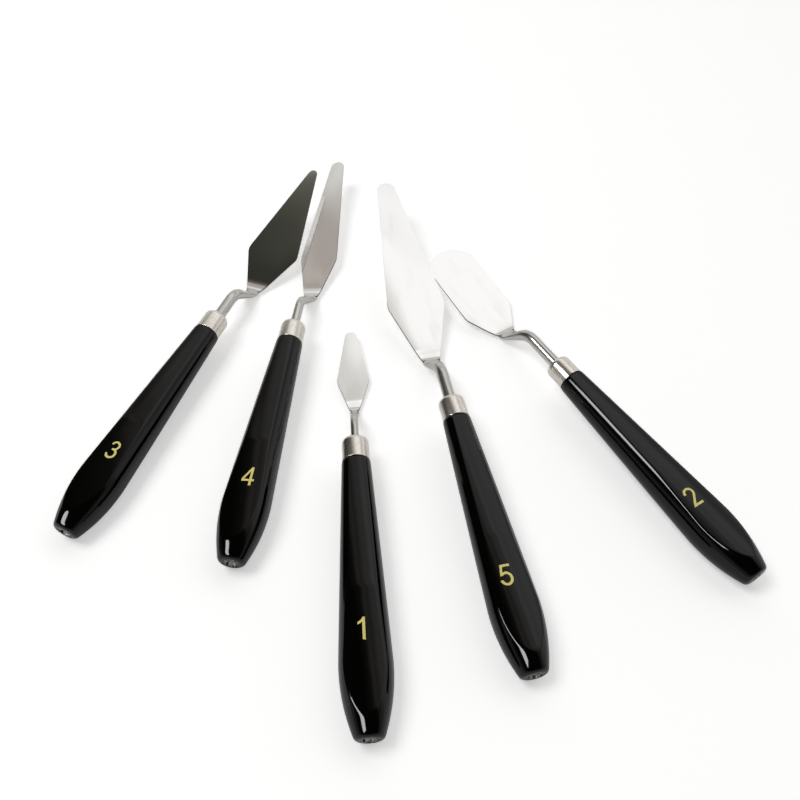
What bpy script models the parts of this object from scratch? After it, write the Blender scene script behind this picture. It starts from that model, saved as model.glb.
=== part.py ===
"""Set of five palette knives, numbered 1 to 5, lying loose on a table.

Each knife is a lacquered wooden handle, a plated ferrule, a cranked steel shank
and a thin steel blade. A knife is modelled along its own +X axis, from the
middle of the butt to the tip, and is then laid on the table, z = 0.
"""
import math
from collections import namedtuple

import bmesh
import bpy
from mathutils import Matrix, Vector

MM = 0.001

# Handle: turned, with a crowned flat planed on its top and bottom.
HANDLE_LENGTH = 100.0 * MM
BELLY_AT = 23.5 * MM
BELLY_DIAMETER = 18.1 * MM
BUTT_DIAMETER = 9.4 * MM
BUTT_ROUND = 1.2 * MM
BUTT_CURVE = 2.1
NOSE_DIAMETER = 10.9 * MM
NOSE_ROUND = 0.8 * MM
NOSE_CURVE = 1.03
FLATS_APART = 13.4 * MM
FLAT_CROWN = 26.0 * MM
EDGE_SHARPNESS = 14.0
CENTRE_HOLE_DIAMETER = 4.8 * MM
CENTRE_HOLE_DEPTH = 1.2 * MM

# Ferrule: a drawn cap over the spigot of the handle.
FERRULE_LENGTH = 10.0 * MM
FERRULE_DIAMETER = 10.3 * MM
FERRULE_WALL = 0.5 * MM
FERRULE_ROUND = 2.2 * MM
FERRULE_LAND = 0.3 * MM

# Shank: a round rod with a crank, flattened under the blade. Wider blades have thicker rods.
THIN_ROD = 3.0 * MM
MIDDLE_ROD = 3.8 * MM
THICK_ROD = 4.7 * MM
TANG_LENGTH = 34.0 * MM
CRANK_ANGLE = math.radians(45)
CRANK_BEND = 9.0 * MM
HEEL_BEND = 8.0 * MM
PALM_LENGTH = 5.5 * MM
PALM_THICKNESS = 1.1 * MM
PALM_TIP_THICKNESS = 0.45 * MM
PALM_INSET = 0.4 * MM

# Blade: spring steel, ground thinner to the tip, welded on the palm at the heel.
SHEET = 0.75 * MM
SHEET_AT_TIP = 0.5 * MM
SEAM_BACK = 3.5 * MM
SHOULDER_ROUND = 1.6 * MM

# Clearances between pieces.
FIT = 0.06 * MM
SEAM_GAP = 0.10 * MM
TANG_END_ROOM = 1.0 * MM
STACK_GAP = 0.25 * MM

# Ring and step counts.
HANDLE_SIDES = 28
HANDLE_STEPS = 15
FERRULE_SIDES = 24
SHANK_SIDES = 14
ROUND_STEPS = 4
BEND_STEPS = 5
FLARE_STEPS = 11
TIP_STEPS = 7
EDGE_SAMPLES = 40

Knife = namedtuple(
    "Knife",
    "number neck_x neck_y heading lean rod stem drop rise"
    " length shoulder_at shoulder_width heel_width tip_width tip_radius rests_on")

# Where each knife lies, how its shank is bent and the outline of its blade.
# The neck is where the rod leaves the ferrule. The heading is counted from +X.
# A positive lean lifts the right-hand edge.
KNIVES = [
    Knife(number=1, neck_x=-17.3 * MM, neck_y=-26.5 * MM, heading=94.1, lean=1.5,
          rod=THIN_ROD, stem=6.1 * MM, drop=9.4 * MM, rise=2.0,
          length=37.7 * MM, shoulder_at=11.8 * MM, shoulder_width=13.5 * MM,
          heel_width=3.6 * MM, tip_width=5.0 * MM, tip_radius=2.6 * MM, rests_on=None),
    Knife(number=2, neck_x=63.1 * MM, neck_y=10.3 * MM, heading=123.0, lean=-4.5,
          rod=THICK_ROD, stem=14.1 * MM, drop=11.1 * MM, rise=7.5,
          length=47.5 * MM, shoulder_at=10.3 * MM, shoulder_width=23.9 * MM,
          heel_width=8.2 * MM, tip_width=23.6 * MM, tip_radius=13.6 * MM, rests_on=None),
    Knife(number=3, neck_x=-77.5 * MM, neck_y=36.8 * MM, heading=67.2, lean=4.7,
          rod=THICK_ROD, stem=10.3 * MM, drop=10.2 * MM, rise=12.9,
          length=67.4 * MM, shoulder_at=18.1 * MM, shoulder_width=25.5 * MM,
          heel_width=6.4 * MM, tip_width=4.2 * MM, tip_radius=2.2 * MM, rests_on=None),
    Knife(number=4, neck_x=-44.8 * MM, neck_y=32.3 * MM, heading=82.5, lean=8.0,
          rod=MIDDLE_ROD, stem=9.9 * MM, drop=10.3 * MM, rise=6.5,
          length=79.5 * MM, shoulder_at=18.5 * MM, shoulder_width=17.1 * MM,
          heel_width=6.2 * MM, tip_width=6.3 * MM, tip_radius=3.2 * MM, rests_on=None),
    Knife(number=5, neck_x=19.5 * MM, neck_y=-9.0 * MM, heading=102.4, lean=-3.9,
          rod=THICK_ROD, stem=12.2 * MM, drop=10.4 * MM, rise=6.5,
          length=96.3 * MM, shoulder_at=25.5 * MM, shoulder_width=25.6 * MM,
          heel_width=7.6 * MM, tip_width=8.4 * MM, tip_radius=4.3 * MM, rests_on=2),
]


def smooth_step(share):
    """Ease from 0 to 1 with level ends."""
    share = min(1.0, max(0.0, share))
    return share * share * (3.0 - 2.0 * share)


def spread(start, end, count):
    """Return count evenly spaced values from start to end."""
    return [start + (end - start) * i / (count - 1) for i in range(count)]


def oval(x, half_width, half_depth, power, sides):
    """One ring across the X axis: a circle at power 2, squarer above it."""
    ring = []
    for i in range(sides):
        angle = math.tau * i / sides
        across, height = math.cos(angle), math.sin(angle)
        y = half_width * math.copysign(abs(across) ** (2.0 / power), across)
        z = half_depth * math.copysign(abs(height) ** (2.0 / power), height)
        ring.append(Vector((x, y, z)))
    return ring


def circle(x, radius, sides):
    """One round ring across the X axis."""
    return oval(x, radius, radius, 2.0, sides)


def skin(name, rings, material, ring_shaped=False):
    """Make one closed object from rings: capped at both ends, or joined end to end."""
    bm = bmesh.new()
    rows = [[bm.verts.new(point) for point in ring] for ring in rings]
    pairs = list(zip(rows, rows[1:]))
    if ring_shaped:
        pairs.append((rows[-1], rows[0]))
    for row, following in pairs:
        for i in range(len(row)):
            j = (i + 1) % len(row)
            bm.faces.new((row[i], row[j], following[j], following[i]))
    if not ring_shaped:
        bm.faces.new(rows[0])
        bm.faces.new(rows[-1])
    bmesh.ops.recalc_face_normals(bm, faces=bm.faces)
    mesh = bpy.data.meshes.new(name)
    bm.to_mesh(mesh)
    bm.free()
    mesh.shade_smooth()
    mesh.set_sharp_from_angle(angle=math.radians(35))
    mesh.materials.append(material)
    piece = bpy.data.objects.new(name, mesh)
    bpy.context.scene.collection.objects.link(piece)
    return piece


def metal_or_lacquer(name, colour, roughness, metallic):
    """Make a Principled material."""
    material = bpy.data.materials.new(name)
    material.use_nodes = True
    shader = material.node_tree.nodes["Principled BSDF"]
    shader.inputs["Base Color"].default_value = (*colour, 1.0)
    shader.inputs["Roughness"].default_value = roughness
    shader.inputs["Metallic"].default_value = metallic
    return material


# Handle

SPIGOT_LENGTH = FERRULE_LENGTH - FERRULE_ROUND - FERRULE_WALL
SPIGOT_RADIUS = FERRULE_DIAMETER / 2 - FERRULE_WALL - FIT


def turned_radius(x):
    """Radius of the turned handle at x from the butt."""
    butt, belly, nose = BUTT_DIAMETER / 2, BELLY_DIAMETER / 2, NOSE_DIAMETER / 2
    if x < BELLY_AT:
        return belly - (belly - butt) * (1.0 - x / BELLY_AT) ** BUTT_CURVE
    share = (x - BELLY_AT) / (HANDLE_LENGTH - BELLY_AT)
    return belly - (belly - nose) * share ** NOSE_CURVE


def planed_radius(angle):
    """Distance from the axis to the crowned flat, in one direction."""
    across, height = abs(math.cos(angle)), abs(math.sin(angle))
    rise = FLATS_APART * (across * across / FLAT_CROWN)
    return FLATS_APART / (height + math.sqrt(height * height + rise))


def handle_ring(x, inset=0.0):
    """Ring of the outside of the handle, drawn in by inset."""
    ring = []
    turned = turned_radius(x) - inset
    for i in range(HANDLE_SIDES):
        angle = math.tau * i / HANDLE_SIDES
        trim = (turned / planed_radius(angle)) ** EDGE_SHARPNESS
        radius = turned * (1.0 + trim) ** (-1.0 / EDGE_SHARPNESS)
        ring.append(Vector((x, radius * math.cos(angle), radius * math.sin(angle))))
    return ring


def make_handle(knife, material):
    """Lacquered handle with its butt hole, spigot and tang hole."""
    sides = HANDLE_SIDES
    hole_radius = knife.rod / 2 + FIT
    spigot_end = HANDLE_LENGTH + SPIGOT_LENGTH
    hole_end = HANDLE_LENGTH + FERRULE_LENGTH - TANG_LENGTH - TANG_END_ROOM
    rings = [circle(CENTRE_HOLE_DEPTH, CENTRE_HOLE_DIAMETER / 2, sides),
             circle(0.0, CENTRE_HOLE_DIAMETER / 2, sides)]
    for angle in spread(0.0, math.pi / 2, ROUND_STEPS + 1)[:-1]:
        x = BUTT_ROUND * (1.0 - math.cos(angle))
        inset = BUTT_ROUND * (1.0 - math.sin(angle))
        rings.append(handle_ring(x, inset))
    for x in spread(BUTT_ROUND, HANDLE_LENGTH - NOSE_ROUND, HANDLE_STEPS):
        rings.append(handle_ring(x))
    rings.append(handle_ring(HANDLE_LENGTH - 0.3 * NOSE_ROUND, 0.3 * NOSE_ROUND))
    rings.append(handle_ring(HANDLE_LENGTH, NOSE_ROUND))
    rings.append(circle(HANDLE_LENGTH, SPIGOT_RADIUS, sides))
    rings.append(circle(spigot_end, SPIGOT_RADIUS, sides))
    rings.append(circle(spigot_end, hole_radius, sides))
    rings.append(circle(hole_end, hole_radius, sides))
    return skin(f"handle_{knife.number}", rings, material)


# Ferrule

def make_ferrule(knife, material):
    """Plated sleeve: open at the back, round shoulder and a rod hole in front."""
    sides = FERRULE_SIDES
    outer = FERRULE_DIAMETER / 2
    bore = outer - FERRULE_WALL
    hole = knife.rod / 2 + FIT
    front = FERRULE_LENGTH
    outer_round = min(FERRULE_ROUND, outer - hole - FERRULE_LAND)
    inner_round = outer_round - FERRULE_WALL
    centre = front - outer_round
    turn = spread(0.0, math.pi / 2, ROUND_STEPS + 1)
    rings = [circle(SEAM_GAP, bore, sides), circle(SEAM_GAP, outer, sides)]
    for angle in turn:
        rings.append(circle(centre + outer_round * math.sin(angle),
                            outer - outer_round * (1.0 - math.cos(angle)), sides))
    rings.append(circle(front, hole, sides))
    rings.append(circle(front - FERRULE_WALL, hole, sides))
    for angle in reversed(turn):
        rings.append(circle(centre + inner_round * math.sin(angle),
                            bore - inner_round * (1.0 - math.cos(angle)), sides))
    ferrule = skin(f"ferrule_{knife.number}", rings, material, ring_shaped=True)
    ferrule.location.x = HANDLE_LENGTH
    return ferrule


# Shank: its path lies in the X-Z plane and starts at the front of the ferrule.

class Crank:
    """The bent line of one shank: stem, bend down, ramp, bend up, blade."""

    def __init__(self, knife):
        rise = math.radians(knife.rise)
        fall_in_bends = (CRANK_BEND * (1.0 - math.cos(CRANK_ANGLE))
                         + HEEL_BEND * (math.cos(rise) - math.cos(CRANK_ANGLE)))
        ramp = (knife.drop - fall_in_bends) / math.sin(CRANK_ANGLE)
        self.bend_start = knife.stem
        self.flare_start = self.bend_start + CRANK_BEND * CRANK_ANGLE / 2
        self.ramp_start = self.bend_start + CRANK_BEND * CRANK_ANGLE
        self.ramp_end = self.ramp_start + ramp
        self.heel = self.ramp_end + HEEL_BEND * (CRANK_ANGLE + rise)
        self.seam = self.heel - SEAM_BACK
        self.rise = rise
        self.parts = [(0.0, self.bend_start, 0.0),
                      (self.bend_start, self.ramp_start, -1.0 / CRANK_BEND),
                      (self.ramp_start, self.ramp_end, 0.0),
                      (self.ramp_end, self.heel, 1.0 / HEEL_BEND),
                      (self.heel, math.inf, 0.0)]

    def at(self, distance, across=0.0, above=0.0):
        """Point at a distance along the line, moved sideways and off the line."""
        x, z, slope = min(distance, 0.0), 0.0, 0.0
        for start, end, curve in self.parts:
            if distance <= start:
                break
            run = min(distance, end) - start
            if curve:
                turned = slope + curve * run
                x += (math.sin(turned) - math.sin(slope)) / curve
                z -= (math.cos(turned) - math.cos(slope)) / curve
                slope = turned
            else:
                x += run * math.cos(slope)
                z += run * math.sin(slope)
        return Vector((x - above * math.sin(slope), across, z + above * math.cos(slope)))

    def ring(self, distance, half_width, top, bottom, power):
        """Oval ring across the line, between two heights above it."""
        middle, half_depth = (top + bottom) / 2, (top - bottom) / 2
        flat = oval(0.0, half_width, half_depth, power, SHANK_SIDES)
        return [self.at(distance, point.y, middle + point.z) for point in flat]


def make_shank(knife, crank, material):
    """Round tang and stem that flatten down the crank into a palm."""
    radius = knife.rod / 2
    heel_half = knife.heel_width / 2
    palm_half = heel_half - PALM_INSET
    palm_end = crank.heel + PALM_LENGTH
    rings = []
    stops = [-TANG_LENGTH, -TANG_LENGTH / 2, 0.0]
    stops += spread(crank.bend_start, crank.flare_start, BEND_STEPS)[:-1]
    for distance in stops:
        rings.append(crank.ring(distance, radius, radius, -radius, 2.0))
    for distance in spread(crank.flare_start, crank.seam, FLARE_STEPS):
        share = smooth_step((distance - crank.flare_start) / (crank.seam - crank.flare_start))
        rings.append(crank.ring(distance,
                                radius + share * (heel_half - radius),
                                radius + share * (SHEET - radius),
                                -radius - share * (PALM_THICKNESS - radius),
                                2.0 + share))
    stops = spread(crank.seam + FIT, crank.heel, BEND_STEPS)[:-1]
    stops += spread(crank.heel, palm_end, BEND_STEPS)
    for distance in stops:
        share = (distance - crank.seam) / (palm_end - crank.seam)
        thickness = PALM_THICKNESS + share * (PALM_TIP_THICKNESS - PALM_THICKNESS)
        rings.append(crank.ring(distance, palm_half * math.sqrt(1.0 - 0.8 * share ** 3),
                                -FIT, -thickness, 3.0))
    shank = skin(f"shank_{knife.number}", rings, material)
    shank.location.x = HANDLE_LENGTH + FERRULE_LENGTH
    return shank


# Blade

def blade_outline(knife):
    """Half outline of the sheet laid flat: distance from the bend and half width."""
    heel = Vector((SEAM_GAP - SEAM_BACK, knife.heel_width / 2))
    shoulder = Vector((knife.shoulder_at, knife.shoulder_width / 2))
    tip_centre = Vector((knife.length - knife.tip_radius, 0.0))
    tip_start = math.asin(min(1.0, knife.tip_width / 2 / knife.tip_radius))
    tip_arc = [tip_centre + knife.tip_radius * Vector((math.cos(angle), math.sin(angle)))
               for angle in spread(tip_start, math.radians(8), TIP_STEPS)]
    before = shoulder + (heel - shoulder).normalized() * SHOULDER_ROUND
    after = shoulder + (tip_arc[0] - shoulder).normalized() * SHOULDER_ROUND
    corner = before * 0.25 + shoulder * 0.5 + after * 0.25
    return [heel, before, corner, after] + tip_arc


def half_width_at(outline, along):
    """Half width of a blade at a distance from its bend, 0 off the blade."""
    for start, end in zip(outline, outline[1:]):
        if start.x <= along <= end.x:
            return start.y + (end.y - start.y) * (along - start.x) / (end.x - start.x)
    return 0.0


def make_blade(knife, crank, material):
    """Thin tapered sheet: its heel bends up the ramp, the rest is flat."""
    outline = blade_outline(knife)
    stations = [Vector((along, half_width_at(outline, along)))
                for along in spread(outline[0].x, 0.0, BEND_STEPS)]
    stations += outline[1:]
    rings = []
    for along, half_width in stations:
        distance = crank.heel + along
        thickness = SHEET + (SHEET_AT_TIP - SHEET) * max(0.0, along / knife.length)
        rings.append([crank.at(distance, half_width, 0.0),
                      crank.at(distance, half_width, thickness),
                      crank.at(distance, -half_width, thickness),
                      crank.at(distance, -half_width, 0.0)])
    blade = skin(f"blade_{knife.number}", rings, material)
    blade.location.x = HANDLE_LENGTH + FERRULE_LENGTH
    return blade


# Laying the knives on the table

def points_of(pieces):
    """Corners of the pieces in their knife's own frame."""
    return [vertex.co + piece.location for piece in pieces for vertex in piece.data.vertices]


def placement(knife, pitch, height):
    """Frame of a knife on the table, its nose raised by pitch."""
    return (Matrix.Translation((knife.neck_x, knife.neck_y, height))
            @ Matrix.Rotation(math.radians(knife.heading), 4, "Z")
            @ Matrix.Rotation(-pitch, 4, "Y")
            @ Matrix.Rotation(-math.radians(knife.lean), 4, "X")
            @ Matrix.Translation((-HANDLE_LENGTH - FERRULE_LENGTH, 0.0, 0.0)))


def lowest(points, knife, pitch):
    """Lowest height of the points of a knife laid with this pitch."""
    frame = placement(knife, pitch, 0.0)
    return min((frame @ point).z for point in points)


def clears(knife, crank, frame, support):
    """True where the blade lies above every support point under it."""
    to_knife = frame.inverted()
    heel = crank.at(crank.heel) + Vector((HANDLE_LENGTH + FERRULE_LENGTH, 0.0, 0.0))
    outline = blade_outline(knife)
    for point in support:
        local = to_knife @ point - heel
        along = local.x * math.cos(crank.rise) + local.z * math.sin(crank.rise)
        above = local.z * math.cos(crank.rise) - local.x * math.sin(crank.rise)
        if abs(local.y) < half_width_at(outline, along) and above > -STACK_GAP:
            return False
    return True


def lay_down(knife, crank, pieces, support):
    """Frame of a knife that rests on its belly and on its heel or its support."""
    belly = points_of(pieces[:1])
    front = points_of(pieces[1:])
    low, high = math.radians(-5), math.radians(20)
    for _ in range(40):
        pitch = (low + high) / 2
        height = -lowest(belly, knife, pitch)
        frame = placement(knife, pitch, height)
        too_low = lowest(front, knife, pitch) + height < 0.0
        if too_low or not clears(knife, crank, frame, support):
            low = pitch
        else:
            high = pitch
    return placement(knife, high, -lowest(belly, knife, high))


def edge_points(blade, frame):
    """Points along every edge of a laid blade."""
    points = []
    for edge in blade.data.edges:
        start, end = (frame @ (blade.data.vertices[i].co + blade.location)
                      for i in edge.vertices)
        points += [start.lerp(end, share) for share in spread(0.0, 1.0, EDGE_SAMPLES)]
    return points


for old in list(bpy.data.objects):
    bpy.data.objects.remove(old, do_unlink=True)

lacquer = metal_or_lacquer("black_lacquer", (0.010, 0.010, 0.011), 0.10, 0.0)
nickel = metal_or_lacquer("nickel_plate", (0.68, 0.64, 0.58), 0.30, 1.0)
rod_steel = metal_or_lacquer("rod_steel", (0.66, 0.65, 0.63), 0.16, 1.0)
blade_steel = metal_or_lacquer("blade_steel", (0.74, 0.74, 0.73), 0.20, 1.0)

table = bpy.data.objects.new("table_centre", None)
bpy.context.scene.collection.objects.link(table)

laid_corners = []
laid_blades = {}
for knife in KNIVES:
    crank = Crank(knife)
    pieces = [make_handle(knife, lacquer),
              make_ferrule(knife, nickel),
              make_shank(knife, crank, rod_steel),
              make_blade(knife, crank, blade_steel)]
    frame = lay_down(knife, crank, pieces, laid_blades.get(knife.rests_on, []))
    knife_axis = bpy.data.objects.new(f"knife_{knife.number}", None)
    bpy.context.scene.collection.objects.link(knife_axis)
    knife_axis.parent = table
    knife_axis.matrix_local = frame
    for piece in pieces:
        piece.parent = knife_axis
    laid_blades[knife.number] = edge_points(pieces[3], frame)
    laid_corners += [frame @ point for point in points_of(pieces)]

# The origin is the middle of the set's footprint.
for axis in range(2):
    places = [corner[axis] for corner in laid_corners]
    table.location[axis] = -(min(places) + max(places)) / 2
bpy.context.view_layer.update()
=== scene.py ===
import math

import bmesh
import bpy
from mathutils import Matrix, Vector, noise


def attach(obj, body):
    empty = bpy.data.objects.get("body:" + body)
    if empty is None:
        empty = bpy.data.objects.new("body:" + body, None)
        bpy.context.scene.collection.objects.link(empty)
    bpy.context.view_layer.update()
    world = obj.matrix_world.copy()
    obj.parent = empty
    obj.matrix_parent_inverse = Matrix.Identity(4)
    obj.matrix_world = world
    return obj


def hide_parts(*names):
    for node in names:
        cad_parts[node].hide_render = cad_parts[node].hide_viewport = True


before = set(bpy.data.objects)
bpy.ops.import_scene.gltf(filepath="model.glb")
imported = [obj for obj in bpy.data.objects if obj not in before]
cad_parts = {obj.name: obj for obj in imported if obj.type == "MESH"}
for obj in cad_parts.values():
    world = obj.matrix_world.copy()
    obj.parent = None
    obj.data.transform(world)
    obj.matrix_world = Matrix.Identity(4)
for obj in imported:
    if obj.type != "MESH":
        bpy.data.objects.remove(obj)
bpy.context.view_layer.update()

# Camera: it looks down on the set from the side of the butts, over the middle of the
# table, with a fairly wide lens.
CAMERA_AIM = Vector((-0.0013, -0.00105, 0.0))
CAMERA_DISTANCE = 0.3479
CAMERA_HEIGHT_ANGLE = math.radians(52.5)
CAMERA_LENS = 38.25
CAMERA_SENSOR = 36.0

camera_data = bpy.data.cameras.new("camera")
camera_data.lens = CAMERA_LENS
camera_data.sensor_width = CAMERA_SENSOR
camera_data.clip_start = 0.01
camera = bpy.data.objects.new("camera", camera_data)
bpy.context.scene.collection.objects.link(camera)
towards_camera = Vector((0.0, -math.cos(CAMERA_HEIGHT_ANGLE), math.sin(CAMERA_HEIGHT_ANGLE)))
camera.location = CAMERA_AIM + towards_camera * CAMERA_DISTANCE
camera.rotation_euler = (math.pi / 2 - CAMERA_HEIGHT_ANGLE, 0.0, 0.0)
bpy.context.scene.camera = camera
bpy.context.scene.view_settings.view_transform = "Standard"

# The five knives lie loose on the table. Each has a frame of its own, read off its
# solids: X runs from the middle of the butt along the handle, Y to its left, Z up.
MM = 0.001
NUMBERS = (1, 2, 3, 4, 5)


def corners(node):
    """Corners of a solid, each of them once."""
    places = {vertex.co.to_tuple(5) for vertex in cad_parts[node].data.vertices}
    return [Vector(place) for place in sorted(places)]


def middle(points):
    """Mean of some points."""
    return sum(points, Vector()) / len(points)


def knife_frame(number):
    """Matrix from a knife's own frame to the table."""
    handle = corners(f"handle_{number}")
    butt = middle(handle)
    along = (middle(corners(f"ferrule_{number}")) - butt).normalized()
    upper_face = Vector()
    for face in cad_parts[f"blade_{number}"].data.polygons:
        if face.normal.z > 0.5:
            upper_face += face.normal * face.area
    across = upper_face.cross(along).normalized()
    butt += along * (min(corner.dot(along) for corner in handle) - butt.dot(along))
    turn = Matrix((along, across, along.cross(across))).transposed()
    return Matrix.Translation(butt) @ turn.to_4x4()


LIE = {number: knife_frame(number) for number in NUMBERS}

# Handle: hardwood turned to a long pear shape, planed with a crowned flat on top and
# bottom, and dipped in gloss black lacquer, which is rough in the lathe centre's hole
# at the butt. A bare spigot at the nose goes into the ferrule.
HANDLE_LENGTH = 100.0 * MM
BELLY_AT = 23.5 * MM
BELLY_RADIUS = 9.0 * MM
BUTT_FACE = 0.03 * MM
BUTT_RADIUS = 4.66 * MM
BUTT_ROUND = 1.2 * MM
BUTT_CURVE = 2.1
NOSE_RADIUS = 5.45 * MM
NOSE_ROUND = 0.8 * MM
NOSE_CURVE = 1.03
FLATS_APART = 13.32 * MM
FLAT_CROWN = 26.0 * MM
FLAT_TAPER_FROM = 48.0 * MM
FLAT_TAPER = 0.068
UPPER_EDGE_SHARPNESS = 110.0
LOWER_EDGE_SHARPNESS = 14.0
CENTRE_HOLE_RADIUS = 2.4 * MM
CENTRE_HOLE_DEPTH = 1.2 * MM
LUMP_HEIGHT = 0.8 * MM
LUMP_REACH = 3.4 * MM
SPIGOT_RADIUS = 4.59 * MM
SPIGOT_LENGTH = 7.3 * MM
TANG_ROOM = 0.06 * MM
ROD_RADII = {1: 1.5 * MM, 2: 2.35 * MM, 3: 2.35 * MM, 4: 1.9 * MM, 5: 2.35 * MM}
TANG_HOLE_END = 75.0 * MM
HANDLE_SIDES = 224
HANDLE_STEP = 0.7 * MM


def turned_radius(x):
    """Radius of the turned handle at x from the butt."""
    if x < BELLY_AT:
        return BELLY_RADIUS - (BELLY_RADIUS - BUTT_RADIUS) * (1.0 - x / BELLY_AT) ** BUTT_CURVE
    share = (x - BELLY_AT) / (HANDLE_LENGTH - BELLY_AT)
    return BELLY_RADIUS - (BELLY_RADIUS - NOSE_RADIUS) * share ** NOSE_CURVE


def planed_radius(x, angle):
    """Distance from the axis to the crowned flat at x, in one direction."""
    across, height = abs(math.cos(angle)), abs(math.sin(angle))
    apart = FLATS_APART - FLAT_TAPER * max(0.0, x - FLAT_TAPER_FROM)
    return apart / (height + math.sqrt(height ** 2 + apart * across ** 2 / FLAT_CROWN))


def handle_radius(x, angle, inset=0.0):
    """Radius of the lacquered handle, drawn in by inset at its rounded ends."""
    turned = turned_radius(x) - inset
    sharpness = UPPER_EDGE_SHARPNESS if angle < math.pi else LOWER_EDGE_SHARPNESS
    trim = (turned / planed_radius(x, angle)) ** sharpness
    return turned * (1.0 + trim) ** (-1.0 / sharpness)


def spread(start, end, count):
    """Evenly spaced values from start to end."""
    return [start + (end - start) * i / (count - 1) for i in range(count)]


def ring(x, radius_at, sides):
    """Ring of points across the X axis, with a radius for each angle."""
    points = []
    for angle in spread(0.0, math.tau, sides + 1)[:-1]:
        radius = radius_at(angle)
        points.append(Vector((x, radius * math.cos(angle), radius * math.sin(angle))))
    return points


def pulled_through(rings):
    """Closed body pulled through rings of points, with a cap at each end."""
    bm = bmesh.new()
    loop = bmesh.ops.create_circle(bm, cap_ends=True, segments=len(rings[0]), radius=1.0)["verts"]
    edges = bm.edges[:]
    for vertex, point in zip(loop, rings[0]):
        vertex.co = point
    for points in rings[1:]:
        made = bmesh.ops.extrude_edge_only(bm, edges=edges)["geom"]
        fresh = {item for item in made if isinstance(item, bmesh.types.BMVert)}
        loop = [next(edge.other_vert(vertex) for edge in vertex.link_edges
                     if edge.other_vert(vertex) in fresh) for vertex in loop]
        edges = [item for item in made if isinstance(item, bmesh.types.BMEdge)
                 and fresh.issuperset(item.verts)]
        for vertex, point in zip(loop, points):
            vertex.co = point
    bmesh.ops.contextual_create(bm, geom=edges)
    bmesh.ops.recalc_face_normals(bm, faces=bm.faces)
    return bm


def lay_in_place(bm, name, number, material, sharp_angle):
    """Make a piece from a body in its knife's frame and let it ride on the knife."""
    own_place = bm.verts.layers.float_vector.new("own_place")
    for vertex in bm.verts:
        vertex[own_place] = vertex.co
    bm.transform(LIE[number])
    mesh = bpy.data.meshes.new(name)
    bm.to_mesh(mesh)
    bm.free()
    mesh.shade_smooth()
    mesh.set_sharp_from_angle(angle=math.radians(sharp_angle))
    mesh.materials.append(material)
    piece = bpy.data.objects.new(name, mesh)
    bpy.context.scene.collection.objects.link(piece)
    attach(piece, f"knife_{number}")
    return piece


class Wire:
    """One socket of a node tree. Arithmetic on it adds Math nodes."""

    def __init__(self, tree, socket=None):
        self.tree = tree
        self.socket = socket

    def feed(self, node, sockets):
        """Set or link the input sockets of a node."""
        for key, value in sockets.items():
            if isinstance(value, Wire):
                self.tree.links.new(value.socket, node.inputs[key])
            else:
                node.inputs[key].default_value = value

    def node(self, kind, settings, sockets, output=0):
        """Add a node: its settings or a ramp's stops, then its sockets. Gives one output."""
        node = self.tree.nodes.new(kind)
        for name, value in settings.items():
            if name == "stops":
                ramp = node.color_ramp.elements
                ramp.remove(ramp[1])
                ramp[0].position, ramp[0].color = value[0]
                for position, colour in value[1:]:
                    ramp.new(position).color = colour
            else:
                setattr(node, name, value)
        self.feed(node, sockets)
        return Wire(self.tree, node.outputs[output])

    def math(self, operation, *values):
        """A Math node."""
        return self.node("ShaderNodeMath", {"operation": operation}, dict(enumerate(values)))

    def fade(self, low, high):
        """Ease from 0 at low to 1 at high."""
        return self.node("ShaderNodeMapRange", {"interpolation_type": "SMOOTHSTEP"},
                         {"Value": self, "From Min": low, "From Max": high})

    def between(self, first, second):
        """Colour between two colours, by this value."""
        return self.node("ShaderNodeMix", {"data_type": "RGBA"},
                         {0: self, 6: first, 7: second}, output=2)

    def stretched(self, scale):
        """This vector, scaled along each axis."""
        return self.node("ShaderNodeMapping", {}, {"Vector": self, "Scale": scale})

    def cloud(self, scale, detail=2.0):
        """Noise at these places."""
        return self.node("ShaderNodeTexNoise", {}, {"Vector": self, "Scale": scale, "Detail": detail})

    def relief(self, depth, normal=None):
        """Bump this high, in metres, over an earlier bump."""
        sockets = {"Height": self, "Distance": depth}
        if normal:
            sockets["Normal"] = normal
        return self.node("ShaderNodeBump", {}, sockets)

    def __add__(self, other):
        return self.math("ADD", self, other)

    def __sub__(self, other):
        return self.math("SUBTRACT", self, other)

    def __rsub__(self, other):
        return self.math("SUBTRACT", other, self)

    def __mul__(self, other):
        return self.math("MULTIPLY", self, other)

    __radd__ = __add__
    __rmul__ = __mul__


def new_finish(name, settings):
    """A material with these even values, its shader and the places it is painted by."""
    material = bpy.data.materials.new(name)
    material.use_nodes = True
    shader = material.node_tree.nodes["Principled BSDF"]
    wire = Wire(material.node_tree)
    wire.feed(shader, settings)
    place = wire.node("ShaderNodeAttribute", {"attribute_name": "own_place"}, {}, "Vector")
    return material, shader, place


def specks(place, scale):
    """Small round specks of dust, in a few of the cells of a pattern."""
    cells = {"Vector": place, "Scale": scale}
    off_middle = place.node("ShaderNodeTexVoronoi", {}, cells)
    chance = place.node("ShaderNodeTexVoronoi", {}, cells, "Color")
    kept = place.node("ShaderNodeSeparateColor", {}, {0: chance}).fade(0.86, 0.90)
    return (1.0 - off_middle.fade(0.010, 0.022)) * kept


LACQUER_BLACK = (0.0002, 0.0002, 0.0002, 1.0)
DUST_GREY = (0.16, 0.15, 0.14, 1.0)
# Torn lacquer in the centre hole shows bare wood. It is painted near white, so it is also a painted highlight
# that stands in for glints on the rough lacquer there.
BARE_WOOD_AND_GLINT = (0.92, 0.90, 0.86, 1.0)

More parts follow.
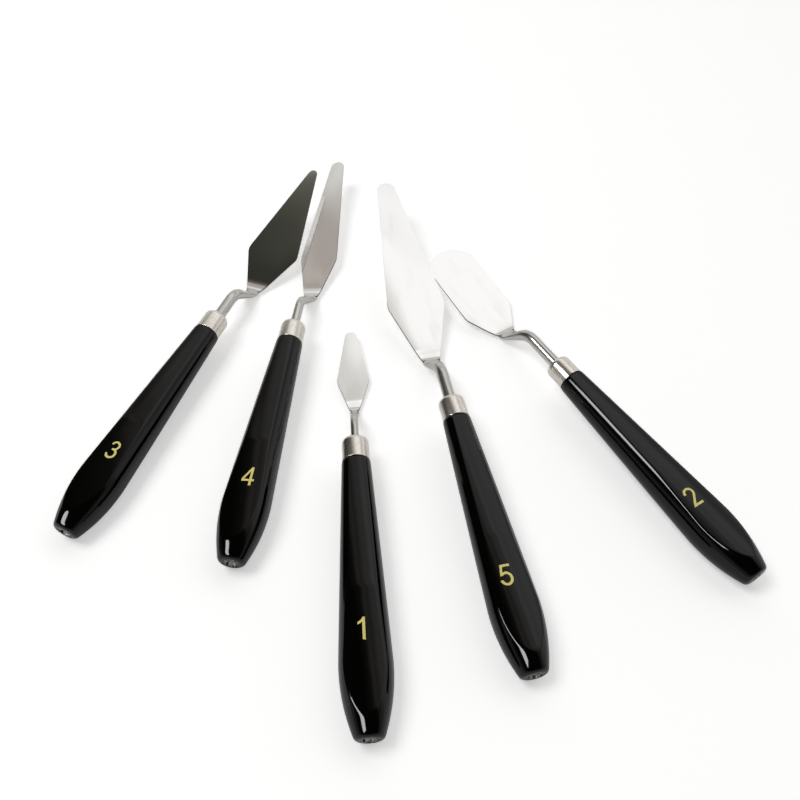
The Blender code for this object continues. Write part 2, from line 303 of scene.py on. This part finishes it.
lacquer, shader, place = new_finish("black_lacquer", {"IOR": 1.40})
flow = place.cloud(85.0, 1.0)
orange_peel = place.cloud(700.0, 2.0)
dust = specks(place, 330.0)
wiped = place.stretched((60.0, 900.0, 900.0)).cloud(1.0, 3.0)
from_butt = place.node("ShaderNodeSeparateXYZ", {}, {0: place}, "X")
off_axis = place.node("ShaderNodeVectorMath", {"operation": "LENGTH"},
                      {0: place.stretched((0.0, 1.0, 1.0))}, "Value")
in_hole = (1.0 - off_axis.fade(0.0019, 0.0029)) * (1.0 - from_butt.fade(0.0012, 0.0018))
# Patches in the centre hole: bare wood, plus a painted highlight for the glints on the rough lacquer.
torn_and_glint = in_hole * place.cloud(1000.0, 2.0).fade(0.42, 0.48)
place.feed(shader, {
    "Base Color": torn_and_glint.between(dust.between(LACQUER_BLACK, DUST_GREY), BARE_WOOD_AND_GLINT),
    "Roughness": 0.045 + 0.05 * wiped + 0.4 * dust,
    "Normal": orange_peel.relief(0.0000010, flow.relief(0.000040))})

for number in NUMBERS:
    rings = []
    for radius in spread(0.10 * MM, CENTRE_HOLE_RADIUS, 24):
        depth = CENTRE_HOLE_DEPTH * (1.0 - (radius / CENTRE_HOLE_RADIUS) ** 4)
        rings.append(ring(BUTT_FACE + depth, lambda angle: radius, HANDLE_SIDES))
    for radius in spread(CENTRE_HOLE_RADIUS, BUTT_RADIUS - BUTT_ROUND, 8)[1:-1]:
        rings.append(ring(BUTT_FACE, lambda angle: radius, HANDLE_SIDES))
    for turn in spread(0.0, math.pi / 2, 7)[:-1]:
        x = BUTT_FACE + (BUTT_ROUND - BUTT_FACE) * (1.0 - math.cos(turn))
        inset = BUTT_ROUND * (1.0 - math.sin(turn))
        rings.append(ring(x, lambda angle: handle_radius(x, angle, inset), HANDLE_SIDES))
    steps = round((HANDLE_LENGTH - BUTT_ROUND - NOSE_ROUND) / HANDLE_STEP)
    for x in spread(BUTT_ROUND, HANDLE_LENGTH - NOSE_ROUND, steps):
        rings.append(ring(x, lambda angle: handle_radius(x, angle), HANDLE_SIDES))
    for turn in spread(0.0, math.pi / 2, 6)[1:]:
        x = HANDLE_LENGTH - NOSE_ROUND * (1.0 - math.sin(turn))
        inset = NOSE_ROUND * (1.0 - math.cos(turn))
        rings.append(ring(x, lambda angle: handle_radius(x, angle, inset), HANDLE_SIDES))
    spigot_end, tang_hole = HANDLE_LENGTH + SPIGOT_LENGTH, ROD_RADII[number] + TANG_ROOM
    for x, radius in ((HANDLE_LENGTH, SPIGOT_RADIUS), (spigot_end, SPIGOT_RADIUS),
                      (spigot_end, tang_hole), (TANG_HOLE_END, tang_hole)):
        rings.append(ring(x, lambda angle: radius, HANDLE_SIDES))
    bm = pulled_through(rings)
    for vertex in bm.verts:
        off_axis = math.hypot(vertex.co.y, vertex.co.z)
        if vertex.co.x < BUTT_ROUND and off_axis < LUMP_REACH:
            rough = noise.fractal(vertex.co * 950.0 + Vector((9.0 * number, 0.0, 0.0)), 1.0, 2.0, 3)
            share = 1.0 - (off_axis / LUMP_REACH) ** 4
            vertex.co.x = max(BUTT_FACE, vertex.co.x + LUMP_HEIGHT * share * rough)
    handle = lay_in_place(bm, f"lacquered_handle_{number}", number, lacquer, 50)
    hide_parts(f"handle_{number}")

# Ferrule: a cap drawn from thin brass, nickel plated and brushed while it turned, with a
# round shoulder and a small rolled rim at the back. It is pressed on over the spigot.
FERRULE_START = HANDLE_LENGTH + 0.10 * MM
FERRULE_END = HANDLE_LENGTH + 10.0 * MM
FERRULE_RADIUS = 5.15 * MM
FERRULE_WALL = 0.5 * MM
FERRULE_SHOULDER = 2.2 * MM
FERRULE_RIM = 0.10 * MM
FERRULE_BEAD = 0.14 * MM
FERRULE_BEAD_LENGTH = 0.55 * MM
FERRULE_STEPS = 96

NICKEL = (0.83, 0.785, 0.72, 1.0)
NICKEL_DULL = (0.72, 0.67, 0.59, 1.0)

nickel, shader, place = new_finish("brushed_nickel", {"Metallic": 1.0})
turn_lines = place.stretched((14000.0, 40.0, 40.0)).cloud(1.0, 2.0)
tarnish = place.cloud(900.0, 4.0).fade(0.45, 0.85)
place.feed(shader, {
    "Base Color": tarnish.between(NICKEL, NICKEL_DULL),
    "Roughness": 0.19 + 0.08 * turn_lines + 0.04 * tarnish,
    "Normal": turn_lines.relief(0.0000005)})

for number in NUMBERS:
    bm = bmesh.new()
    profile = []
    bore, rod_hole = FERRULE_RADIUS - FERRULE_WALL, ROD_RADII[number] + TANG_ROOM
    bead_end = FERRULE_START + FERRULE_BEAD_LENGTH
    for x, radius, rounding in ((FERRULE_START, bore, 0.0),
                                (FERRULE_START, FERRULE_RADIUS + FERRULE_BEAD, FERRULE_RIM),
                                (bead_end, FERRULE_RADIUS + FERRULE_BEAD, FERRULE_RIM),
                                (bead_end, FERRULE_RADIUS, 0.0),
                                (FERRULE_END, FERRULE_RADIUS, FERRULE_SHOULDER),
                                (FERRULE_END, rod_hole, FERRULE_RIM),
                                (FERRULE_END - FERRULE_WALL, rod_hole, 0.0),
                                (FERRULE_END - FERRULE_WALL, bore, FERRULE_SHOULDER - FERRULE_WALL)):
        profile.append((bm.verts.new((x, 0.0, radius)), rounding))
    bm.faces.new([vertex for vertex, rounding in profile])
    for vertex, rounding in profile:
        if rounding:
            bmesh.ops.bevel(bm, geom=[vertex], offset=rounding, affect="VERTICES",
                            segments=10, profile=0.5, material=-1)
    bmesh.ops.delete(bm, geom=bm.faces[:], context="FACES_ONLY")
    bmesh.ops.spin(bm, geom=bm.verts[:] + bm.edges[:], cent=(0, 0, 0), axis=(1, 0, 0),
                   angle=math.tau, steps=FERRULE_STEPS, use_merge=True)
    bmesh.ops.remove_doubles(bm, verts=bm.verts, dist=0.00001 * MM)
    bmesh.ops.recalc_face_normals(bm, faces=bm.faces)
    ferrule = lay_in_place(bm, f"plated_ferrule_{number}", number, nickel, 40)
    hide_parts(f"ferrule_{number}")

# Shank: polished steel rod, thicker for a wider blade. Its tang is glued into the handle, the stem is bent
# down and back, and the end is forged out to a thin palm under the heel of the blade.
SHANK_START = HANDLE_LENGTH + 10.0 * MM
TANG_LENGTH = 34.0 * MM
CRANK_ANGLE = math.radians(45)
CRANK_BEND = 9.0 * MM
HEEL_BEND = 8.0 * MM
SOFT_BEND = 28.0 * MM
SOFT_TURN = math.radians(9)
PALM_LENGTH = 5.5 * MM
PALM_THICKNESS = 1.1 * MM
PALM_TIP_THICKNESS = 0.45 * MM
PALM_INSET = 0.4 * MM
PALM_GAP = 0.06 * MM
SEAM_BACK = 3.5 * MM
SHEET = 0.75 * MM
SHANK_SIDES = 32
STEMS = {1: 6.1 * MM, 2: 14.1 * MM, 3: 10.3 * MM, 4: 9.9 * MM, 5: 12.2 * MM}
DROPS = {1: 9.4 * MM, 2: 11.1 * MM, 3: 10.2 * MM, 4: 10.3 * MM, 5: 10.4 * MM}
BLADE_RISES = {1: 2.0, 2: 7.5, 3: 12.9, 4: 6.5, 5: 6.5}
HEEL_WIDTHS = {1: 3.6 * MM, 2: 8.2 * MM, 3: 6.4 * MM, 4: 6.2 * MM, 5: 7.6 * MM}


class Crank:
    """The bent line of one shank: stem, bend down, ramp, bend up, blade."""

    def __init__(self, number):
        rise = math.radians(BLADE_RISES[number])
        soft_slope = math.cos(rise - SOFT_TURN)
        fall_in_bends = (CRANK_BEND * (1.0 - math.cos(CRANK_ANGLE))
                         + HEEL_BEND * (soft_slope - math.cos(CRANK_ANGLE))
                         + SOFT_BEND * (math.cos(rise) - soft_slope)
                         + (SOFT_BEND - HEEL_BEND) * SOFT_TURN * math.sin(rise))
        ramp = (DROPS[number] - fall_in_bends) / math.sin(CRANK_ANGLE)
        self.bend_start = STEMS[number]
        self.flare_start = self.bend_start + CRANK_BEND * CRANK_ANGLE / 2
        self.ramp_start = self.bend_start + CRANK_BEND * CRANK_ANGLE
        self.ramp_end = self.ramp_start + ramp
        self.heel = self.ramp_end + HEEL_BEND * (CRANK_ANGLE + rise)
        self.seam = self.heel - SEAM_BACK
        soft_start = self.heel - HEEL_BEND * SOFT_TURN
        soft_end = soft_start + SOFT_BEND * SOFT_TURN
        self.parts = [(0.0, self.bend_start, 0.0),
                      (self.bend_start, self.ramp_start, -1.0 / CRANK_BEND),
                      (self.ramp_start, self.ramp_end, 0.0),
                      (self.ramp_end, soft_start, 1.0 / HEEL_BEND),
                      (soft_start, soft_end, 1.0 / SOFT_BEND),
                      (soft_end, math.inf, 0.0)]

    def at(self, distance, across, above):
        """Point at a distance along the line, moved sideways and off the line."""
        x, z, slope = SHANK_START + min(distance, 0.0), 0.0, 0.0
        for start, end, curve in self.parts:
            if distance <= start:
                break
            run = min(distance, end) - start
            if curve:
                turned = slope + curve * run
                x += (math.sin(turned) - math.sin(slope)) / curve
                z -= (math.cos(turned) - math.cos(slope)) / curve
                slope = turned
            else:
                x += run * math.cos(slope)
                z += run * math.sin(slope)
        return Vector((x - above * math.sin(slope), across, z + above * math.cos(slope)))

    def ring(self, distance, half_width, top, bottom, power):
        """Oval ring across the line, between two heights, squarer above a power of 2."""
        points = []
        for angle in spread(0.0, math.tau, SHANK_SIDES + 1)[:-1]:
            across, height = math.cos(angle), math.sin(angle)
            y = half_width * math.copysign(abs(across) ** (2.0 / power), across)
            z = math.copysign(abs(height) ** (2.0 / power), height)
            points.append(self.at(distance, y, (top + bottom) / 2 + z * (top - bottom) / 2))
        return points


CRANKS = {number: Crank(number) for number in NUMBERS}

ROD_STEEL = (0.66, 0.645, 0.62, 1.0)
ROD_STEEL_DARK = (0.56, 0.54, 0.51, 1.0)

rod_steel, shader, place = new_finish("rod_steel", {"Metallic": 1.0})
draw_lines = place.stretched((120.0, 5000.0, 5000.0)).cloud(1.0, 2.0)
place.feed(shader, {
    "Base Color": draw_lines.fade(0.35, 0.65).between(ROD_STEEL, ROD_STEEL_DARK),
    "Roughness": 0.19 + 0.06 * draw_lines,
    "Normal": draw_lines.relief(0.0000008)})

for number in NUMBERS:
    crank = CRANKS[number]
    radius, heel_half = ROD_RADII[number], HEEL_WIDTHS[number] / 2
    palm_end = crank.heel + PALM_LENGTH
    rings = []
    stops = [-TANG_LENGTH, -TANG_LENGTH / 2] + spread(0.0, crank.bend_start, 8)
    stops += spread(crank.bend_start, crank.flare_start, 10)[1:-1]
    for distance in stops:
        rings.append(crank.ring(distance, radius, radius, -radius, 2.0))
    for share in spread(0.0, 1.0, 40):
        flat = share * share * (3.0 - 2.0 * share)
        rings.append(crank.ring(crank.flare_start + share * (crank.seam - crank.flare_start),
                                radius + flat * (heel_half - radius),
                                radius + flat * (SHEET - radius),
                                -radius - flat * (PALM_THICKNESS - radius),
                                2.0 + flat))
    for distance in spread(crank.seam + PALM_GAP, palm_end, 20):
        share = (distance - crank.seam) / (palm_end - crank.seam)
        thickness = PALM_THICKNESS + share * (PALM_TIP_THICKNESS - PALM_THICKNESS)
        half_width = (heel_half - PALM_INSET) * math.sqrt(1.0 - 0.8 * share ** 3)
        rings.append(crank.ring(distance, half_width, -PALM_GAP, -thickness, 3.0))
    bm = pulled_through(rings)
    shank = lay_in_place(bm, f"cranked_shank_{number}", number, rod_steel, 45)
    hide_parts(f"shank_{number}")

# Blade: cut from spring steel sheet, ground thinner to the tip and polished along its
# length, with the sharp edges taken off. The heel is bent up the palm and welded there.
SEAM_GAP = 0.10 * MM
SHEET_AT_TIP = 0.5 * MM
SHOULDER_ROUND = 1.6 * MM
EDGE_ROUND = 0.12 * MM
LENGTHS = {1: 37.7 * MM, 2: 47.5 * MM, 3: 67.4 * MM, 4: 79.5 * MM, 5: 96.3 * MM}
SHOULDERS_AT = {1: 11.8 * MM, 2: 10.3 * MM, 3: 18.1 * MM, 4: 18.5 * MM, 5: 25.5 * MM}
SHOULDER_WIDTHS = {1: 13.5 * MM, 2: 23.9 * MM, 3: 25.5 * MM, 4: 17.1 * MM, 5: 25.6 * MM}
TIP_WIDTHS = {1: 5.0 * MM, 2: 23.6 * MM, 3: 4.2 * MM, 4: 6.3 * MM, 5: 8.4 * MM}
TIP_RADII = {1: 2.6 * MM, 2: 13.6 * MM, 3: 2.2 * MM, 4: 3.2 * MM, 5: 4.3 * MM}

BLADE_STEEL = (0.92, 0.91, 0.895, 1.0)
BLADE_STEEL_DARK = (0.84, 0.825, 0.80, 1.0)
# Painted shade: the side faces of the blade are coloured near black, standing in for the shadowed table that
# they mirror.
PAINTED_EDGE_SHADE = (0.16, 0.15, 0.14, 1.0)

blade_steel, shader, place = new_finish("blade_steel", {"IOR": 1.5})
polish_lines = place.stretched((90.0, 4200.0, 300.0)).cloud(1.0, 3.0)
smear = place.stretched((40.0, 110.0, 40.0)).cloud(1.0, 2.0).fade(0.55, 0.85)
wave = place.stretched((22.0, 40.0, 22.0)).cloud(1.0, 0.0)
cut_edge = place.node("ShaderNodeAttribute", {"attribute_name": "cut_edge"}, {}, "Fac")
dust = specks(place, 300.0)
place.feed(shader, {
    "Base Color": cut_edge.between(smear.between(BLADE_STEEL, BLADE_STEEL_DARK), PAINTED_EDGE_SHADE),
    "Metallic": 1.0 - 0.5 * dust,
    "Roughness": 0.05 + 0.05 * polish_lines + 0.04 * smear + 0.25 * cut_edge + 0.4 * dust,
    "Normal": polish_lines.relief(0.0000020, (1.0 - wave).relief(0.00090))})

for number in NUMBERS:
    crank = CRANKS[number]
    back = SEAM_BACK - SEAM_GAP
    length, heel_half = LENGTHS[number], HEEL_WIDTHS[number] / 2
    tip_radius = TIP_RADII[number]
    tip_half_angle = math.asin(min(1.0, TIP_WIDTHS[number] / 2 / tip_radius))
    tip_centre = Vector((length - tip_radius, 0.0, 0.0))
    bm = bmesh.new()
    first = bm.verts.new(tip_centre + tip_radius * Vector((math.cos(tip_half_angle),
                                                          math.sin(tip_half_angle), 0.0)))
    bmesh.ops.spin(bm, geom=[first], cent=tip_centre, axis=(0, 0, -1),
                   angle=2 * tip_half_angle, steps=32)
    bm.verts.ensure_lookup_table()
    last = bm.verts[-1]
    shoulder = Vector((SHOULDERS_AT[number], SHOULDER_WIDTHS[number] / 2, 0.0))
    chain = [last]
    for x, y in ((shoulder.x, -shoulder.y), (-back, -heel_half),
                 (-back, heel_half), (shoulder.x, shoulder.y)):
        chain.append(bm.verts.new((x, y, 0.0)))
    for start, end in zip(chain, chain[1:] + [first]):
        bm.edges.new((start, end))
    bmesh.ops.contextual_create(bm, geom=bm.edges[:])
    bmesh.ops.bevel(bm, geom=[chain[1], chain[4]], offset=SHOULDER_ROUND, affect="VERTICES",
                    segments=8, profile=0.5, material=-1)
    raised = bmesh.ops.extrude_face_region(bm, geom=bm.faces[:])["geom"]
    for vertex in (item for item in raised if isinstance(item, bmesh.types.BMVert)):
        share = max(0.0, vertex.co.x / length)
        vertex.co.z = SHEET + share * (SHEET_AT_TIP - SHEET)
    bmesh.ops.recalc_face_normals(bm, faces=bm.faces)
    # Marks the side faces of the blade, which get the painted shade.
    painted_shade_face = bm.faces.layers.float.new("cut_edge")
    for face in bm.faces:
        face[painted_shade_face] = 1.0 - round(abs(face.normal.z))
    rims = [edge for edge in bm.edges if edge.calc_face_angle() > math.radians(60)
            and abs(edge.verts[0].co.z - edge.verts[1].co.z) < 0.1 * MM
            and max(vertex.co.x for vertex in edge.verts) > -back + 0.01 * MM]
    bmesh.ops.bevel(bm, geom=rims, offset=EDGE_ROUND, affect="EDGES",
                    segments=3, profile=0.5, material=-1)
    for x in spread(-back, 3.6 * MM, 36)[1:]:
        bmesh.ops.bisect_plane(bm, geom=bm.verts[:] + bm.edges[:] + bm.faces[:],
                               plane_co=(x, 0, 0), plane_no=(1, 0, 0))
    for vertex in bm.verts:
        vertex.co = crank.at(crank.heel + vertex.co.x, vertex.co.y, vertex.co.z)
    blade = lay_in_place(bm, f"polished_blade_{number}", number, blade_steel, 14)
    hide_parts(f"blade_{number}")

# Numerals: pale gold foil stamped on the upper flat of each handle, read with the blade
# pointing up, so thin that they lie in the gloss of the lacquer.
NUMERAL_HEIGHT = 7.6 * MM
NUMERAL_RAISE = 0.02 * MM
NUMERAL_PLACES = {1: (33.2 * MM, 0.6 * MM), 2: (33.6 * MM, 1.4 * MM), 3: (33.4 * MM, -1.1 * MM),
                  4: (31.5 * MM, -0.8 * MM), 5: (32.7 * MM, 1.4 * MM)}

FOIL_GOLD = (1.0, 0.88, 0.28, 1.0)
FOIL_WORN = (0.82, 0.67, 0.17, 1.0)

foil, shader, place = new_finish("gold_foil", {"IOR": 1.45})
worn = place.cloud(1500.0, 3.0).fade(0.50, 0.75)
place.feed(shader, {
    "Base Color": worn.between(FOIL_GOLD, FOIL_WORN),
    "Roughness": 0.42 + 0.2 * worn,
    "Normal": worn.relief(0.000004)})



def bow(x, y, half_width, half_height, start, end):
    """Points on an oval, from one angle to another."""
    return [(x + half_width * math.cos(math.radians(angle)), y + half_height * math.sin(math.radians(angle)))
            for angle in spread(start, end, 25)]


# Outlines of the numerals, one high, with the inner outline of the 4 last.
NUMERAL_OUTLINES = {
    1: [[(0.30, 0.0), (0.425, 0.0), (0.425, 1.0), (0.345, 1.0), (0.285, 0.91), (0.20, 0.84),
         (0.10, 0.785), (0.10, 0.665), (0.20, 0.71), (0.30, 0.785)]],
    2: [bow(0.31, 0.715, 0.29, 0.285, 183, -36) + [(0.22, 0.12), (0.60, 0.12), (0.60, 0.0), (0.02, 0.0)]
        + [(0.045, 0.075)] + bow(0.31, 0.715, 0.17, 0.175, -40, 183)],
    3: [bow(0.28, 0.745, 0.25, 0.255, 172, -50) + bow(0.285, 0.29, 0.285, 0.29, 50, -172)
        + bow(0.285, 0.295, 0.165, 0.185, -170, 80) + [(0.20, 0.482), (0.20, 0.582)]
        + bow(0.28, 0.735, 0.14, 0.155, -80, 170)],
    4: [[(0.385, 0.0), (0.505, 0.0), (0.505, 0.235), (0.62, 0.235), (0.62, 0.345), (0.505, 0.345),
         (0.505, 1.0), (0.405, 1.0), (0.0, 0.355), (0.0, 0.235), (0.385, 0.235)],
        [(0.385, 0.345), (0.115, 0.345), (0.385, 0.775)]],
    5: [[(0.125, 1.0), (0.565, 1.0), (0.565, 0.882), (0.222, 0.882)] + bow(0.285, 0.325, 0.305, 0.325, 112, -170)
        + bow(0.285, 0.325, 0.178, 0.215, -168, 135) + [(0.04, 0.475)]],
}

for number in NUMBERS:
    bm = bmesh.new()
    for outline in NUMERAL_OUTLINES[number]:
        around = [bm.verts.new((x, y, 0.0)) for x, y in outline]
        for start, end in zip(around, around[1:] + around[:1]):
            bm.edges.new((start, end))
    bmesh.ops.triangle_fill(bm, use_beauty=True, use_dissolve=False, edges=bm.edges[:])
    width = max(vertex.co.x for vertex in bm.verts) + min(vertex.co.x for vertex in bm.verts)
    at_x, at_y = NUMERAL_PLACES[number]
    for vertex in bm.verts:
        across, upwards = (vertex.co.x - width / 2) * NUMERAL_HEIGHT, (vertex.co.y - 0.5) * NUMERAL_HEIGHT
        vertex.co = (at_x + upwards, at_y - across, 0.0)
    for offset in spread(-5.0 * MM, 5.0 * MM, 21):
        for co, no in (((at_x + offset, 0, 0), (1, 0, 0)), ((0, at_y + offset, 0), (0, 1, 0))):
            bmesh.ops.bisect_plane(bm, geom=bm.verts[:] + bm.edges[:] + bm.faces[:],
                                   plane_co=co, plane_no=no)
    raised = bmesh.ops.extrude_face_region(bm, geom=bm.faces[:])["geom"]
    tops = {item for item in raised if isinstance(item, bmesh.types.BMVert)}
    for vertex in bm.verts:
        height = FLATS_APART / 2
        for _ in range(6):
            angle = math.atan2(height, vertex.co.y)
            height = handle_radius(vertex.co.x, angle) * math.sin(angle)
        vertex.co.z = height + (NUMERAL_RAISE if vertex in tops else 0.0)
    bmesh.ops.recalc_face_normals(bm, faces=bm.faces)
    numeral = lay_in_place(bm, f"foil_numeral_{number}", number, foil, 30)

# Table and light: a white sheet under the knives, a white backdrop at the far side that
# turns to the right, a tall window light on the left and a dim room over and behind.
TABLE_SIZE = 6.0
TABLE_WHITE = (0.95, 0.95, 0.95, 1.0)
TABLE_GLOW = 0.48
TABLE_GLOW_IN_METAL = 0.12

bm = bmesh.new()
bmesh.ops.create_grid(bm, x_segments=2, y_segments=2, size=TABLE_SIZE / 2)
table_mesh = bpy.data.meshes.new("table")
bm.to_mesh(table_mesh)
bm.free()
table = bpy.data.objects.new("table", table_mesh)
bpy.context.scene.collection.objects.link(table)
paper = bpy.data.materials.new("white_paper")
paper.use_nodes = True
paper.node_tree.nodes.clear()
wire = Wire(paper.node_tree)
lit = wire.node("ShaderNodeBsdfDiffuse", {}, {"Color": TABLE_WHITE})
glow = wire.node("ShaderNodeLightPath", {}, {}, "Is Camera Ray") * TABLE_GLOW
for kind_of_ray in ("Is Glossy Ray", "Is Transmission Ray"):
    glow += wire.node("ShaderNodeLightPath", {}, {}, kind_of_ray) * TABLE_GLOW_IN_METAL
glow = wire.node("ShaderNodeEmission", {}, {"Strength": glow})
shown = wire.node("ShaderNodeAddShader", {}, {0: lit, 1: glow})
output = paper.node_tree.nodes.new("ShaderNodeOutputMaterial")
wire.feed(output, {"Surface": shown})
table_mesh.materials.append(paper)

LAMP_DIRECTION = Vector((-0.45, 0.08, 0.89))
LAMP_DISTANCE = 1.8
LAMP_SIZE = (0.8, 0.8)
LAMP_POWER = 11.5
WINDOW_DIRECTION = Vector((-0.57, -0.27, 0.78))
WINDOW_DISTANCE = 2.0
WINDOW_SIZE = (1.45, 0.62)
WINDOW_POWER = 43.0


def hang_light(name, direction, distance, size, power):
    """Rectangular light that faces the middle of the table from a direction."""
    light_data = bpy.data.lights.new(name, "AREA")
    light_data.shape = "RECTANGLE"
    light_data.size, light_data.size_y = size
    light_data.energy = power
    light = bpy.data.objects.new(name, light_data)
    bpy.context.scene.collection.objects.link(light)
    light.location = direction.normalized() * distance
    light.rotation_euler = direction.to_track_quat("Z", "Y").to_euler()
    return light


hang_light("soft_lamp", LAMP_DIRECTION, LAMP_DISTANCE, LAMP_SIZE, LAMP_POWER).visible_glossy = False
hang_light("window", WINDOW_DIRECTION, WINDOW_DISTANCE, WINDOW_SIZE, WINDOW_POWER).visible_diffuse = False

ROOM_DARK = (0.030, 0.030, 0.025, 1.0)
ROOM_DIM = (0.115, 0.115, 0.095, 1.0)
SCREEN_GREY = (0.48, 0.445, 0.415, 1.0)
FOLD_GREY = (0.36, 0.32, 0.295, 1.0)
WALL_GREY = (0.68, 0.68, 0.66, 1.0)
WALL_SHADE = (0.92, 0.92, 0.92, 1.0)
WALL_WHITE = (1.04, 1.04, 1.04, 1.0)
NEAR_GREY = (0.34, 0.34, 0.34, 1.0)
PANELS = ((0.18, ROOM_DARK), (0.29, ROOM_DIM), (0.335, SCREEN_GREY), (0.36, SCREEN_GREY),
          (0.385, FOLD_GREY), (0.46, WALL_GREY), (0.522, WALL_GREY), (0.54, WALL_WHITE),
          (0.60, WALL_WHITE), (0.63, WALL_SHADE), (0.70, WALL_WHITE))

world = bpy.data.worlds.new("studio")
bpy.context.scene.world = world
world.use_nodes = True
world.node_tree.nodes.clear()
wire = Wire(world.node_tree)
direction = wire.node("ShaderNodeTexCoord", {}, {}, "Generated")
right = wire.node("ShaderNodeSeparateXYZ", {}, {0: direction}, "X")
far = wire.node("ShaderNodeSeparateXYZ", {}, {0: direction}, "Y")
up = wire.node("ShaderNodeSeparateXYZ", {}, {0: direction}, "Z")
turned = far + 0.56 * right
panels = wire.node("ShaderNodeValToRGB", {"stops": PANELS}, {0: turned})
gap = 0.74 - 0.24 * up.fade(0.34, 0.44) + 0.50 * up.fade(0.54, 0.70)
near = (1.0 - up.fade(0.15, 0.45)) * (1.0 - far.fade(-0.2, 0.2))
room = near.between(gap.between(ROOM_DARK, panels), NEAR_GREY)
seen = wire.node("ShaderNodeLightPath", {}, {}, "Is Camera Ray")
sky = wire.node("ShaderNodeBackground", {}, {"Color": room})
white = wire.node("ShaderNodeBackground", {}, {"Color": (1.0, 1.0, 1.0, 1.0)})
shown = wire.node("ShaderNodeMixShader", {}, {0: seen, 1: sky, 2: white})
output = world.node_tree.nodes.new("ShaderNodeOutputWorld")
wire.feed(output, {"Surface": shown})
